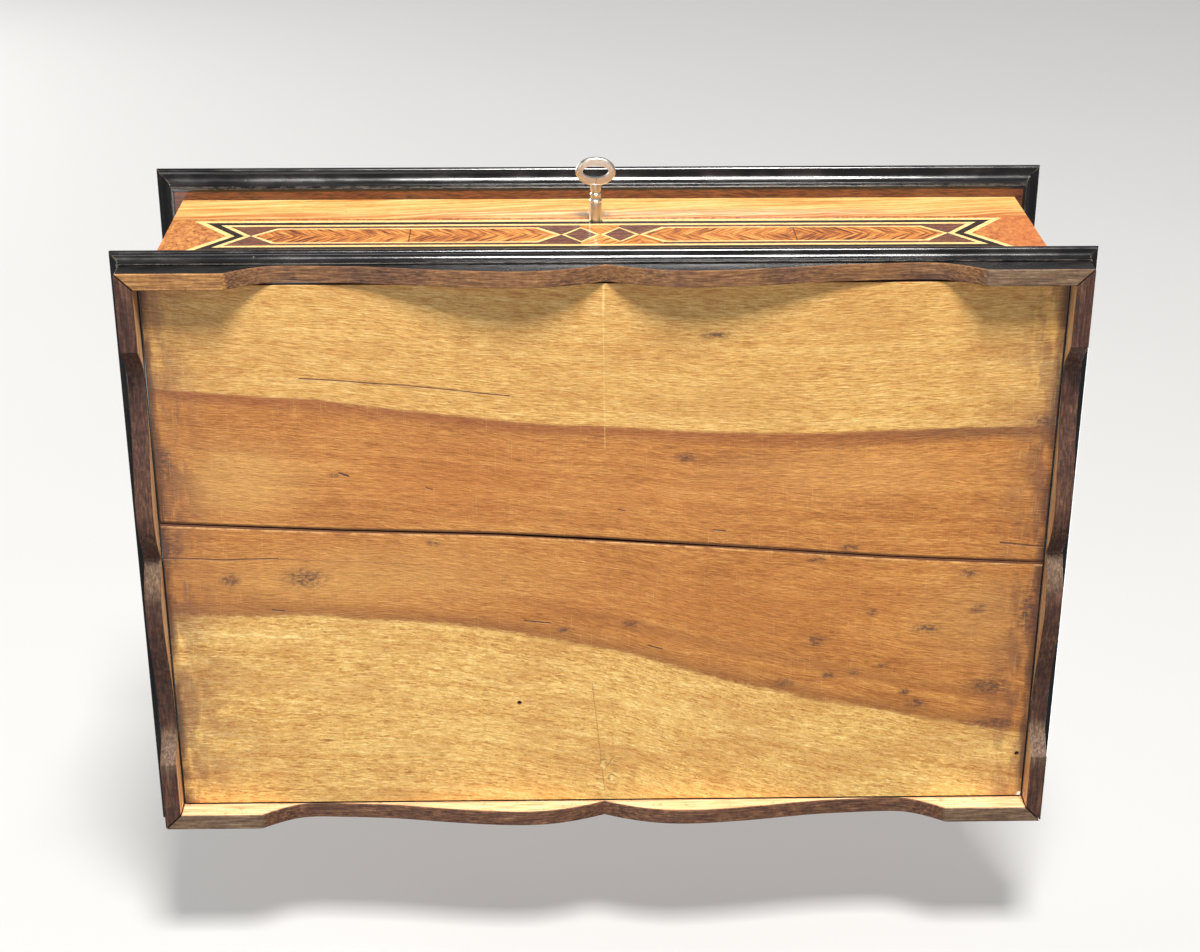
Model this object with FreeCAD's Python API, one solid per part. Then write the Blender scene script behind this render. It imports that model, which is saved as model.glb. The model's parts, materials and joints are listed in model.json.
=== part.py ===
import FreeCAD, Part
import math
import os

V = FreeCAD.Vector

# Inlaid lift-lid box on scalloped bracket aprons.
# +Z up, front faces -Y, right-hand end faces +X, millimetres.
# The origin is on the standing plane, under the middle of the overall bounding box.

# Carcase
BODY_W = 302.0
BODY_D = 197.0
WALL = 9.0
WALL_TOP = 99.8
FLOOR_Z = 7.4
FLOOR_T = 6.0
FLOOR_TOP = FLOOR_Z + FLOOR_T
# shrinkage gap between the two bottom planks: x, y, width
CRACK = [
    (-151.0, -13.2, 0.4),
    (-92.0, -10.3, 0.6),
    (-36.0, -8.3, 0.7),
    (-4.0, -6.3, 0.8),
    (48.0, -2.6, 0.6),
    (98.0, 1.3, 0.45),
    (151.0, 4.0, 0.25),
]
GROOVE = 3.0
FIT = 0.3
# insect exit holes in the back plank: x, y
WORM_HOLES = [(-30.2, 58.0), (148.3, 80.8)]
WORM_R = 0.6
WORM_DEPTH = 4.0

# Bracket aprons
APRON_OUT = 6.5
APRON_T = 5.7
APRON_TOP = 8.4
APRON_PLATEAU = 7.1
APRON_LOBE = 0.4
LONG_FOOT = 34.5
SHORT_FOOT = 27.0
MITRE_GAP = 0.15
MITRE_REACH = 20.0
# scalloped edge from the middle cusp to the foot: share of the run, share of the height
SCALLOP = [
    (0.0, 1.0),
    (0.07, 0.5),
    (0.15, 0.13),
    (0.23, 0.0),
    (0.34, 0.11),
    (0.46, 0.37),
    (0.61, 0.78),
    (0.78, 1.0),
    (0.9, 0.9),
    (0.95, 0.5),
]

# Plinth and lid mouldings
PLINTH_TOP = 16.0
PLINTH_LIP = 9.9
LID_Z = 100.0
LID_T = 8.0
LID_OVER = 3.0
LID_LIP = 6.9
LIP_R = 1.3

# Inlay
INLAY_T = 0.6
PATTERN_X = -0.8
FRAME_Z = 58.2
OUTER_STRING = 16.9
EBONY_OUT = 14.8
EBONY_IN = 12.1
INNER_STRING = 10.4
VERTEX_X = 122.6
END_VERTEX_X = 62.0
LID_VERTEX_X = 112.0
TAIL_SLOPE = 1.25
HEX_HALF = 8.2
HEX_END = 8.0
HEX_LINE = 1.0
DIAMOND_PITCH = 13.5
LID_BORDER_INSET = 6.0
LID_BORDER = (("string", 2.0), ("ebony", 2.4), ("string", 1.6))

# Hinges
HINGE_X = 95.0
HINGE_LEN = 34.0
KNUCKLE_R = 2.0
KNUCKLE_GAP = 0.3
PIN_R = 0.9
PIN_FIT = 0.05
LEAF_T = 1.15
LEAF_DEPTH = 7.5
LEAF_GAP = 0.15
SCREW_PITCH = 11.5
SCREW_INSET = 3.9
SCREW_LONG = 6.5
SCREW_SHORT = 5.5
SCREW_HEAD_R = 1.7
SCREW_SHANK_R = 0.85
SLOT_W = 0.4
HINGE_Y = BODY_D / 2 + KNUCKLE_R + KNUCKLE_GAP

# Lock and key
LOCK_X = -2.2
KEY_Z = 74.0
LOCK_HALF_W = 20.0
PLATE_HALF_W = 26.0
LOCK_LOW = 62.0
LOCK_SKIN = 2.6
CASE_WALL = 0.8
PLATE_T = 1.2
TAB_X = (-9.0, 11.0)
TAB_T = 1.4
TAB_LOW = 91.0
STRIKE_HALF_W = 20.0
STRIKE_SCREW_X = (-16.5, 15.0)
BOLT_THROW = 5.0
BOLT_BACK = 2.2
BOLT_T = 1.4
BOLT_BAR = (-17.6, 6.4, 84.0, 89.0)
FINGER_W = 2.6
FINGER_Z = (93.2, 95.6)
TALON_Z = (67.0, 70.2)
TALON_X = 1.2
ARM_X = 3.4
KEY_R = 2.2
KEY_BORE = 1.0
POST_R = 0.95
KEYHOLE_R = 2.5
BOW_A = 7.0
BOW_B = 5.1
BOW_HOLE_A = 4.5
BOW_HOLE_B = 2.3
BOW_T = 2.0
BOW_OUT = 17.9
BIT_REACH = 6.5
BIT_LENGTH = 2.2
BIT_T = 1.8

# Secret drawer and its catch
DRAWER_TOP = 40.7
DRAWER_LOW = 16.3
DRAWER_BACK_X = 60.0
DRAWER_BACK_TOP = 42.6
DRAWER_SIDE = 4.0
DRAWER_GAP = 0.3
SUBFLOOR_Z = 43.2
SUBFLOOR_T = 4.0
SLIP_X = 54.4
SLIP_W = 14.0
SLIP_TRAVEL = 12.0
PEG_R = 3.0
TONGUE = 2.5
PEG_Y = -6.0
PEG_LOW = 24.0
HOOK_Z = (22.0, 38.0)
HOOK_ARM_Y = (10.0, 14.0)
HOOK_LIP_Y = 2.0
HOOK_END_X = SLIP_X - 7.4
HOOK_T = 4.0
RUNNER_W = 10.0

HALF_W = BODY_W / 2
HALF_D = BODY_D / 2
FRONT_Y = -HALF_D
LIP_HALF_D = HALF_D + PLINTH_LIP
KEY_REACH = HALF_D + BOW_OUT + BOW_B
CENTRE_SHIFT = (KEY_REACH - LIP_HALF_D) / 2

PARTS = {}


def keep(name, shape):
    PARTS[name] = shape


def box(x0, x1, y0, y1, z0, z1):
    return Part.makeBox(x1 - x0, y1 - y0, z1 - z0, V(x0, y0, z0))


def rod(radius, start, end):
    axis = V(*end) - V(*start)
    return Part.makeCylinder(radius, axis.Length, V(*start), axis)


def union(shapes):
    first, *rest = shapes
    return first.multiFuse(rest).removeSplitter() if rest else first


def minus(shape, tools):
    return shape.cut(tools) if tools else shape


def prism(points, vector):
    return Part.Face(Part.makePolygon(points + points[:1])).extrude(vector)


def mirrored(shape, axis):
    return shape.mirror(V(0, 0, 0), V(*axis))


def group(shapes):
    solids = []
    for shape in shapes:
        solids += shape.Solids
    return Part.makeCompound(solids)


# Mitred mouldings

def mitre_wedge(half_long, half_short, low, high, gap=0.0):
    """Region that a front length may fill, cut at 45 degrees at both ends."""
    reach = MITRE_REACH
    x_out = half_long + reach - gap
    x_in = half_long - reach - gap
    y_out = -half_short - reach
    y_in = -half_short + reach
    points = [V(-x_out, y_out, low), V(x_out, y_out, low), V(x_in, y_in, low), V(-x_in, y_in, low)]
    return prism(points, V(0, 0, high - low))


def front_length(profile, half_long, half_short):
    """A profile in (outward, z), swept along the front and mitred at both ends."""
    reach = half_long + MITRE_REACH
    wire = profile(lambda u, z: V(-reach, -half_short - u, z))
    bar = Part.Face(wire).extrude(V(2 * reach, 0, 0))
    limits = bar.BoundBox
    return bar.common(mitre_wedge(half_long, half_short, limits.ZMin, limits.ZMax))


def turn(shape, degrees):
    copy = shape.copy()
    copy.rotate(V(0, 0, 0), V(0, 0, 1), degrees)
    return copy


def four_lengths(profile, half_w, half_d):
    front = front_length(profile, half_w, half_d)
    side = front_length(profile, half_d, half_w)
    return {
        "front": front,
        "back": turn(front, 180),
        "right": turn(side, 90),
        "left": turn(side, -90),
    }


def line(a, b):
    return Part.LineSegment(a, b).toShape()


def arc(a, mid, b):
    return Part.Arc(a, mid, b).toShape()


def cove_mid(a, b, bulge):
    """Point between a and b, pushed sideways by bulge towards b's height."""
    return (a[0] + (b[0] - a[0]) * (0.5 - bulge), a[1] + (b[1] - a[1]) * (0.5 + bulge))


def plinth_profile(at):
    fillet = APRON_OUT + 0.5
    lip_low = PLINTH_TOP - 1.2 - 2 * LIP_R
    lip_u = PLINTH_LIP - LIP_R
    start = (fillet, APRON_TOP + 1.1)
    end = (lip_u, lip_low)
    mid = cove_mid(start, end, 0.2)
    shoulder = PLINTH_TOP - 1.2
    edges = [
        line(at(0, APRON_TOP), at(fillet, APRON_TOP)),
        line(at(fillet, APRON_TOP), at(*start)),
        arc(at(*start), at(*mid), at(*end)),
        arc(at(*end), at(PLINTH_LIP, lip_low + LIP_R), at(lip_u, shoulder)),
        line(at(lip_u, shoulder), at(lip_u - 2.6, shoulder)),
        arc(at(lip_u - 2.6, shoulder), at(2.6, PLINTH_TOP - 0.3), at(0, PLINTH_TOP)),
        line(at(0, PLINTH_TOP), at(0, APRON_TOP)),
    ]
    return Part.Wire(edges)


def lid_profile(at):
    top = LID_Z + LID_T
    lip_u = LID_LIP - LIP_R
    lip_low = top - 2 * LIP_R
    start = (1.7, LID_Z + 0.9)
    end = (lip_u, lip_low)
    edges = [
        line(at(0, LID_Z), at(1.2, LID_Z)),
        line(at(1.2, LID_Z), at(1.2, LID_Z + 0.9)),
        line(at(1.2, LID_Z + 0.9), at(*start)),
        arc(at(*start), at(*cove_mid(start, end, 0.2)), at(*end)),
        arc(at(*end), at(LID_LIP, lip_low + LIP_R), at(lip_u, top)),
        line(at(lip_u, top), at(0, top)),
        line(at(0, top), at(0, LID_Z)),
    ]
    return Part.Wire(edges)


def scallop_cutter(run):
    """Everything below the scalloped edge between the two feet."""
    height = APRON_PLATEAU - APRON_LOBE
    knots = [V(f * run, 0, APRON_LOBE + h * height) for f, h in SCALLOP]
    foot = V(run, 0, 0)
    curve = Part.BSplineCurve()
    curve.interpolate(knots + [foot])
    right = curve.toShape()
    left = mirrored(right, (1, 0, 0))
    below = V(0, 0, -5.0)
    other = V(-run, 0, 0)
    edges = [
        right,
        line(foot, foot + below),
        line(foot + below, other + below),
        line(other + below, other),
        left,
    ]
    face = Part.Face(Part.Wire(Part.sortEdges(edges)[0]))
    return face.extrude(V(0, APRON_T + 2, 0))


def apron(half_long, half_short, foot):
    board = box(-half_long, half_long, -half_short, -half_short + APRON_T, 0, APRON_TOP)
    cutter = scallop_cutter(half_long - foot)
    cutter.translate(V(0, -half_short - 1, 0))
    wedge = mitre_wedge(half_long, half_short, -1.0, APRON_TOP + 1.0, MITRE_GAP)
    return board.cut(cutter).common(wedge)


def aprons():
    half_w = HALF_W + APRON_OUT
    half_d = HALF_D + APRON_OUT
    front = apron(half_w, half_d, LONG_FOOT)
    side = apron(half_d, half_w, SHORT_FOOT)
    keep("front_apron", front)
    keep("back_apron", turn(front, 180))
    keep("right_apron", turn(side, 90))
    keep("left_apron", turn(side, -90))


def mouldings():
    for side, shape in four_lengths(plinth_profile, HALF_W, HALF_D).items():
        keep(f"{side}_plinth_moulding", shape)
    lid_w = HALF_W + LID_OVER
    lid_d = HALF_D + LID_OVER
    for side, shape in four_lengths(lid_profile, lid_w, lid_d).items():
        if side == "back":
            shape = minus(shape, knuckle_recesses())
        keep(f"lid_{side}_moulding", shape)


# Inlay patterns, drawn in a local (x, z) plane centred on the pattern

def ring_points(offset, vertex):
    """Swallow-tailed frame outline at a half height, vertex being its notch at EBONY_IN."""
    run = math.sin(math.atan(TAIL_SLOPE))
    notch = vertex + (offset - EBONY_IN) / run
    tip = notch + offset / TAIL_SLOPE
    return [(-tip, offset), (-notch, 0), (-tip, -offset), (tip, -offset), (notch, 0), (tip, offset)]


def slab(points):
    return prism([V(x, 0, z) for x, z in points], V(0, INLAY_T, 0))


def ring(outer, inner, vertex):
    return slab(ring_points(outer, vertex)).cut(slab(ring_points(inner, vertex)))


def bar_hexagon(x0, x1, half, end):
    return [(x0, 0), (x0 + end, half), (x1 - end, half), (x1, 0), (x1 - end, -half), (x0 + end, -half)]


def lattice(vertex, crossings):
    """Closed shapes between the crossings: two long hexagons and the diamonds in the middle."""
    end = vertex + (INNER_STRING - EBONY_IN) / math.sin(math.atan(TAIL_SLOPE))
    first, last = crossings[0], crossings[-1]
    shapes = [
        bar_hexagon(-end, first, HEX_HALF, HEX_END),
        bar_hexagon(last, end, HEX_HALF, HEX_END),
    ]
    for a, b in zip(crossings, crossings[1:]):
        mid = (a + b) / 2
        shapes.append([(a, 0), (mid, HEX_HALF), (b, 0), (mid, -HEX_HALF)])
    return shapes


def shrunk(points, line_width):
    cx = sum(x for x, _ in points) / len(points)
    wide = max(x for x, _ in points) - cx
    k_z = 1 - line_width / HEX_HALF
    k_x = 1 - line_width * 1.4 / wide
    return [(cx + (x - cx) * k_x, z * k_z) for x, z in points]


def inlay_panel(vertex, crossings):
    """Solids of one framed panel by wood: ebony, string, walnut and satin."""
    ebony = ring(EBONY_OUT, EBONY_IN, vertex)
    outer = ring(OUTER_STRING, EBONY_OUT, vertex)
    inner = ring(EBONY_IN, INNER_STRING, vertex)
    field = slab(ring_points(INNER_STRING, vertex))
    shapes = lattice(vertex, crossings)
    cores = [slab(shrunk(p, HEX_LINE)) for p in shapes]
    strings = union([slab(p) for p in shapes]).cut(cores)
    ground = field.cut([slab(p) for p in shapes])
    # the ground is light between the diamonds and below the right-hand one, dark elsewhere
    half_pitch = DIAMOND_PITCH / 2
    side_x = -crossings[0]
    light_zones = [
        box(-side_x + half_pitch, side_x - half_pitch, -1, 2, -INNER_STRING, INNER_STRING),
        box(side_x - half_pitch, side_x + HEX_END, -1, 2, -INNER_STRING, 0),
    ]
    light = ground.common(union(light_zones))
    dark = ground.cut(light_zones)
    return {
        "ebony": [ebony],
        "string": [outer, inner, strings],
        "walnut": [dark] + cores[2:],
        "satin": [light] + cores[:2],
    }


def place(shape, position, degrees=0.0, tilt=0.0):
    copy = shape.copy()
    if tilt:
        copy.rotate(V(0, 0, 0), V(1, 0, 0), tilt)
    if degrees:
        copy.rotate(V(0, 0, 0), V(0, 0, 1), degrees)
    copy.translate(V(*position))
    return copy


def crossings_from(count):
    start = -DIAMOND_PITCH * (count - 1) / 2
    return [start + DIAMOND_PITCH * i for i in range(count)]


def carcase_inlay():
    """Framed panels on the front and both ends; the front one is pierced by the keyhole."""
    front = inlay_panel(VERTEX_X, crossings_from(3))
    side = inlay_panel(END_VERTEX_X, crossings_from(3))
    woods = {}
    for wood in front:
        pieces = [place(s, (PATTERN_X, FRONT_Y, FRAME_Z)).cut(keyhole()) for s in front[wood]]
        pieces += [place(s, (HALF_W, 0, FRAME_Z), 90) for s in side[wood]]
        pieces += [place(s, (-HALF_W, 0, FRAME_Z), -90) for s in side[wood]]
        woods[wood] = pieces
    return woods


def lid_inlay():
    """A framed panel in the middle of the lid, inside a border of three lines."""
    woods = {"ebony": [], "string": [], "walnut": [], "satin": []}
    top = LID_Z + LID_T
    low = top - INLAY_T
    for wood, shapes in inlay_panel(LID_VERTEX_X, crossings_from(3)).items():
        woods[wood] += [place(s, (0, 0, top), tilt=-90) for s in shapes]
    x = HALF_W - LID_BORDER_INSET
    y = HALF_D - LID_BORDER_INSET
    for wood, width in LID_BORDER:
        band = box(-x, x, -y, y, low, top)
        x -= width
        y -= width
        woods[wood].append(band.cut(box(-x, x, -y, y, low - 1, top + 1)))
    return woods


# Hinges

def hinge_span(x, parts, index):
    length = HINGE_LEN / parts
    return x - HINGE_LEN / 2 + index * length, x - HINGE_LEN / 2 + (index + 1) * length


def knuckle(x, index):
    gap = 0.15
    a, b = hinge_span(x, 3, index)
    a += gap if index else 0
    b -= gap if index < 2 else 0
    return a, b


def hinge_leaf(x, is_lid):
    sign = 1 if is_lid else -1
    near = LID_Z + sign * LEAF_GAP
    far = near + sign * LEAF_T
    low, high = min(near, far), max(near, far)
    plate = box(x - HINGE_LEN / 2, x + HINGE_LEN / 2, HALF_D - LEAF_DEPTH, HINGE_Y, low, high)
    clear_r = KNUCKLE_R + KNUCKLE_GAP
    others = (0, 2) if is_lid else (1,)
    own = (1,) if is_lid else (0, 2)
    for index in others:
        a, b = hinge_span(x, 3, index)
        plate = plate.cut(rod(clear_r, (a, HINGE_Y, LID_Z), (b, HINGE_Y, LID_Z)))
    tubes = []
    for index in own:
        a, b = knuckle(x, index)
        tubes.append(rod(KNUCKLE_R, (a, HINGE_Y, LID_Z), (b, HINGE_Y, LID_Z)))
    bore = rod(PIN_R + PIN_FIT, (x - HINGE_LEN, HINGE_Y, LID_Z), (x + HINGE_LEN, HINGE_Y, LID_Z))
    leaf = union([plate] + tubes).cut(bore)
    return leaf.cut([screw_at(p, is_lid) for p in hinge_screw_points(x, is_lid)])


def hinge_screw_points(x, is_lid):
    z = LID_Z + (LEAF_GAP if is_lid else -LEAF_GAP)
    return [(x + dx, HALF_D - SCREW_INSET, z) for dx in (-SCREW_PITCH, 0.0, SCREW_PITCH)]


def all_hinge_screw_points(is_lid):
    return hinge_screw_points(-HINGE_X, is_lid) + hinge_screw_points(HINGE_X, is_lid)


def screw_solid(length):
    """Countersunk screw pointing down from z = 0."""
    head = Part.makeCone(SCREW_SHANK_R, SCREW_HEAD_R, 1.0, V(0, 0, -1.0))
    shank = rod(SCREW_SHANK_R, (0, 0, -length + 1.2), (0, 0, -0.9))
    tip = Part.makeCone(0.15, SCREW_SHANK_R, 1.2, V(0, 0, -length))
    return union([head, shank, tip])


def screw_at(point, up, length=SCREW_LONG):
    screw = screw_solid(length)
    if up:
        screw.rotate(V(0, 0, 0), V(1, 0, 0), 180)
    screw.translate(V(*point))
    return screw


def slot_along_x(point):
    """Screwdriver slot in a screw head that lies level."""
    x, y, z = point
    half = SLOT_W / 2
    return box(x - SCREW_HEAD_R, x + SCREW_HEAD_R, y - half, y + half, z - SLOT_W, z + SLOT_W)


def hinge_screws(is_lid):
    return [screw_at(p, is_lid).cut(slot_along_x(p)) for p in all_hinge_screw_points(is_lid)]


def knuckle_recesses():
    """Room in the lid's overhang for the knuckles, on the hinge axis."""
    tools = []
    for x in (-HINGE_X, HINGE_X):
        a = x - HINGE_LEN / 2 - 0.4
        b = x + HINGE_LEN / 2 + 0.4
        tools.append(rod(KNUCKLE_R + KNUCKLE_GAP + 0.1, (a, HINGE_Y, LID_Z), (b, HINGE_Y, LID_Z)))
    return tools


def hinges():
    for side, x in (("left", -HINGE_X), ("right", HINGE_X)):
        keep(f"{side}_hinge_body_leaf", hinge_leaf(x, False))
        keep(f"{side}_hinge_lid_leaf", hinge_leaf(x, True))
        reach = HINGE_LEN / 2 + 0.4
        pin = rod(PIN_R, (x - reach, HINGE_Y, LID_Z), (x + reach, HINGE_Y, LID_Z))
        keep(f"{side}_hinge_pin", pin)
    keep("hinge_screws_body", group(hinge_screws(False)))
    keep("hinge_screws_lid", group(hinge_screws(True)))


# Lock

CASE_FRONT = FRONT_Y + LOCK_SKIN
PLATE_BACK = FRONT_Y + WALL
PLATE_FRONT = PLATE_BACK - PLATE_T
SELVAGE_TOP = WALL_TOP
SELVAGE_LOW = SELVAGE_TOP - PLATE_T


def lock_recess():
    inner = box(
        LOCK_X - LOCK_HALF_W, LOCK_X + LOCK_HALF_W, CASE_FRONT, PLATE_BACK + 1, LOCK_LOW, WALL_TOP + 1
    )
    low = LOCK_LOW - 4.0
    plate = box(
        LOCK_X - PLATE_HALF_W, LOCK_X + PLATE_HALF_W, PLATE_FRONT, PLATE_BACK + 1, low, WALL_TOP + 1
    )
    rim = box(
        LOCK_X - PLATE_HALF_W, LOCK_X + PLATE_HALF_W, CASE_FRONT, PLATE_BACK + 1, SELVAGE_LOW, WALL_TOP + 1
    )
    return union([inner, plate, rim])


def keyhole():
    hole = rod(KEYHOLE_R, (LOCK_X, FRONT_Y - 1, KEY_Z), (LOCK_X, CASE_FRONT + 1, KEY_Z))
    slot = box(
        LOCK_X - 1.1, LOCK_X + 1.1, FRONT_Y - 1, CASE_FRONT + 1, KEY_Z, KEY_Z + BIT_REACH + 0.6
    )
    return union([hole, slot])


def lock_case():
    outer = box(
        LOCK_X - LOCK_HALF_W, LOCK_X + LOCK_HALF_W, CASE_FRONT, PLATE_FRONT, LOCK_LOW, SELVAGE_LOW
    )
    hollow = box(
        LOCK_X - LOCK_HALF_W + CASE_WALL,
        LOCK_X + LOCK_HALF_W - CASE_WALL,
        CASE_FRONT + CASE_WALL,
        PLATE_FRONT + 1,
        LOCK_LOW + CASE_WALL,
        SELVAGE_LOW + 1,
    )
    selvage = box(
        LOCK_X - PLATE_HALF_W, LOCK_X + PLATE_HALF_W, CASE_FRONT, PLATE_BACK, SELVAGE_LOW, SELVAGE_TOP
    )
    case = union([outer.cut(hollow), selvage])
    slots = [
        box(
            LOCK_X + x - 1.3,
            LOCK_X + x + 1.3,
            CASE_FRONT + CASE_WALL - 0.1,
            PLATE_FRONT,
            SELVAGE_LOW - 1,
            SELVAGE_TOP + 1,
        )
        for x in TAB_X
    ]
    return case.cut(slots + [keyhole()])


def lock_screw_points():
    dx = PLATE_HALF_W - 3.0
    return [
        (LOCK_X + sx * dx, PLATE_BACK, z)
        for sx in (-1, 1)
        for z in (LOCK_LOW - 0.5, SELVAGE_LOW - 8.0)
    ]


def lock_screw(point):
    screw = screw_solid(SCREW_SHORT)
    screw.rotate(V(0, 0, 0), V(1, 0, 0), -90)
    screw.translate(V(*point))
    return screw


def cover_plate():
    plate = box(
        LOCK_X - PLATE_HALF_W,
        LOCK_X + PLATE_HALF_W,
        PLATE_FRONT,
        PLATE_BACK,
        LOCK_LOW - 4.0,
        SELVAGE_LOW,
    )
    return plate.cut([lock_screw(p) for p in lock_screw_points()])


def bolt():
    """Sliding bolt: bar, two fingers and the talon arm that the key's bit drives, drawn back."""
    y0 = CASE_FRONT + BOLT_BACK
    y1 = y0 + BOLT_T
    x = LOCK_X
    left, right, low, high = BOLT_BAR
    finger_low, finger_high = FINGER_Z
    pieces = [box(x + left, x + right, y0, y1, low, high)]
    for tab in TAB_X:
        tab_edge = x + tab - TAB_T / 2
        root = tab_edge - BOLT_THROW - FINGER_W - FIT
        pieces.append(box(root, root + FINGER_W, y0, y1, high - 1, finger_high))
        pieces.append(box(root, tab_edge - 0.4, y0, y1, finger_low, finger_high))
    pieces.append(box(x + ARM_X, x + right, y0, y1, TALON_Z[0], low + 1))
    pieces.append(box(x + TALON_X - BOLT_THROW, x + ARM_X + 0.6, y0, y1, *TALON_Z))
    return union(pieces)


def strike_block(low, high):
    return box(
        LOCK_X - STRIKE_HALF_W, LOCK_X + STRIKE_HALF_W, CASE_FRONT + 0.2, PLATE_BACK - 0.2, low, high
    )


def strike_plate():
    """Link plate let into the lid, with two eyed tabs that enter the lock."""
    low = LID_Z
    plate = strike_block(low, low + PLATE_T)
    y0 = CASE_FRONT + 1.2
    y1 = PLATE_FRONT - 0.5
    tabs = []
    eyes = []
    for dx in TAB_X:
        x = LOCK_X + dx
        tabs.append(box(x - TAB_T / 2, x + TAB_T / 2, y0, y1, TAB_LOW, low + 0.5))
        eyes.append(box(x - 2, x + 2, y0 + 0.7, y1 - 0.6, 92.7, 96.2))
    return union([plate] + tabs).cut(eyes).cut(strike_screw_tools())


def strike_screw_points():
    y = (CASE_FRONT + PLATE_BACK) / 2
    return [(LOCK_X + dx, y, LID_Z) for dx in STRIKE_SCREW_X]


def strike_screw_tools():
    return [screw_at(p, True, SCREW_SHORT) for p in strike_screw_points()]


def strike_screws():
    return [s.cut(slot_along_x(p)) for s, p in zip(strike_screw_tools(), strike_screw_points())]


def ellipse_plate(a, b, thickness, centre):
    curve = Part.Ellipse(V(centre[0], centre[1], centre[2] - thickness / 2), a, b)
    return Part.Face(Part.Wire(curve.toShape())).extrude(V(0, 0, thickness))


def key():
    """Small key with an oval bow lying level, a bulb, two rings, a drilled barrel and a bit."""
    x = LOCK_X
    z = KEY_Z
    bow_y = FRONT_Y - BOW_OUT
    bow = ellipse_plate(BOW_A, BOW_B, BOW_T, (x, bow_y, z))
    bow = bow.makeFillet(0.7, bow.Edges)
    hole = ellipse_plate(BOW_HOLE_A, BOW_HOLE_B, BOW_T + 2, (x, bow_y, z))
    bow_end = bow_y + BOW_B
    stations = [
        (1.9, bow_end - 0.6),
        (1.95, bow_end + 1.6),
        (1.5, bow_end + 2.3),
        (2.05, bow_end + 3.0),
        (1.8, bow_end + 3.7),
        (1.85, bow_end + 4.6),
        (2.3, bow_end + 5.3),
        (1.95, bow_end + 6.0),
        (KEY_R, bow_end + 6.7),
    ]
    tail = PLATE_FRONT - 0.4
    points = [V(0, stations[0][1], 0)] + [V(r, y, 0) for r, y in stations]
    points += [V(KEY_R, tail, 0), V(0, tail, 0)]
    face = Part.Face(Part.makePolygon(points + points[:1]))
    shank = face.revolve(V(0, 0, 0), V(0, 1, 0), 360)
    shank.translate(V(x, 0, z))
    bit_y0 = CASE_FRONT + CASE_WALL + 0.8
    bit = box(x - BIT_REACH, x - 1.6, bit_y0, bit_y0 + BIT_LENGTH, z - BIT_T / 2, z + BIT_T / 2)
    bore = rod(KEY_BORE, (x, FRONT_Y - 3, z), (x, tail + 1, z))
    return union([bow.cut(hole), shank, bit]).cut(bore)


def lock():
    keep("lock_case", lock_case())
    keep("lock_cover_plate", cover_plate())
    post = rod(POST_R, (LOCK_X, FRONT_Y - 2, KEY_Z), (LOCK_X, PLATE_FRONT, KEY_Z))
    keep("lock_key_post", post)
    half = SLOT_W / 2
    screws = []
    for x, y, z in lock_screw_points():
        slot = box(x - half, x + half, y - SLOT_W, y + SLOT_W, z - SCREW_HEAD_R, z + SCREW_HEAD_R)
        screws.append(lock_screw((x, y, z)).cut(slot))
    keep("lock_screws", group(screws))
    keep("lock_bolt", bolt())
    keep("strike_plate", strike_plate())
    keep("strike_screws", group(strike_screws()))
    keep("key", key())


# Secret drawer, sub-floor and catch

DRAWER_HALF = HALF_D - WALL - DRAWER_GAP
INNER_X = HALF_W - WALL
INNER_Y = HALF_D - WALL


def secret_drawer():
    keep("drawer_front", box(INNER_X, HALF_W, -DRAWER_HALF, DRAWER_HALF, DRAWER_LOW, DRAWER_TOP))
    side_top = DRAWER_TOP - 2.0
    back_x = DRAWER_BACK_X + 6.0
    for name, sign in (("front", -1), ("back", 1)):
        y_out = sign * DRAWER_HALF
        y_in = sign * (DRAWER_HALF - DRAWER_SIDE)
        y0, y1 = min(y_out, y_in), max(y_out, y_in)
        keep(f"drawer_{name}_side", box(back_x, INNER_X, y0, y1, DRAWER_LOW, side_top))
    end = box(DRAWER_BACK_X, back_x, -DRAWER_HALF, DRAWER_HALF, DRAWER_LOW, DRAWER_BACK_TOP)
    keep("drawer_inner_end", end)
    bottom_y = DRAWER_HALF - DRAWER_SIDE
    keep("drawer_bottom", box(back_x, INNER_X, -bottom_y, bottom_y, DRAWER_LOW + 1.0, DRAWER_LOW + 3.0))
    arm = box(HOOK_END_X, DRAWER_BACK_X, *HOOK_ARM_Y, *HOOK_Z)
    lip = box(HOOK_END_X, HOOK_END_X + HOOK_T, HOOK_LIP_Y, HOOK_ARM_Y[0] + 0.5, *HOOK_Z)
    keep("drawer_hook", union([arm, lip]))


def drawer_runners():
    x0 = DRAWER_BACK_X - 8.0
    strips = []
    for sign in (-1, 1):
        y_out = sign * INNER_Y
        y_in = sign * (INNER_Y - RUNNER_W)
        y0, y1 = min(y_out, y_in), max(y_out, y_in)
        strips.append(box(x0, INNER_X, y0, y1, FLOOR_TOP, DRAWER_LOW - FIT))
    keep("drawer_front_runner", strips[0])
    keep("drawer_back_runner", strips[1])
    sill = box(INNER_X, HALF_W, -INNER_Y, INNER_Y, FLOOR_TOP, DRAWER_LOW - FIT)
    keep("drawer_sill", sill)


def subfloor_panels(z0, z1):
    """Two housed panels with the sliding slip between them."""
    edge_l = SLIP_X - SLIP_W / 2 - FIT
    edge_r = SLIP_X + SLIP_W / 2 + FIT
    y = INNER_Y + GROOVE
    groove_z0 = z0 + 1.1
    groove_z1 = z1 - 1.1
    left = box(-INNER_X - GROOVE, edge_l, -y, y, z0, z1)
    right = box(edge_r, INNER_X + GROOVE, -y, y, z0, z1)
    left = left.cut(box(edge_l - TONGUE - FIT, edge_l + 1, -y - 1, y + 1, groove_z0, groove_z1))
    right = right.cut(box(edge_r - 1, edge_r + TONGUE + FIT, -y - 1, y + 1, groove_z0, groove_z1))
    keep("subfloor_left", left)
    keep("subfloor_right", right)


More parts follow.
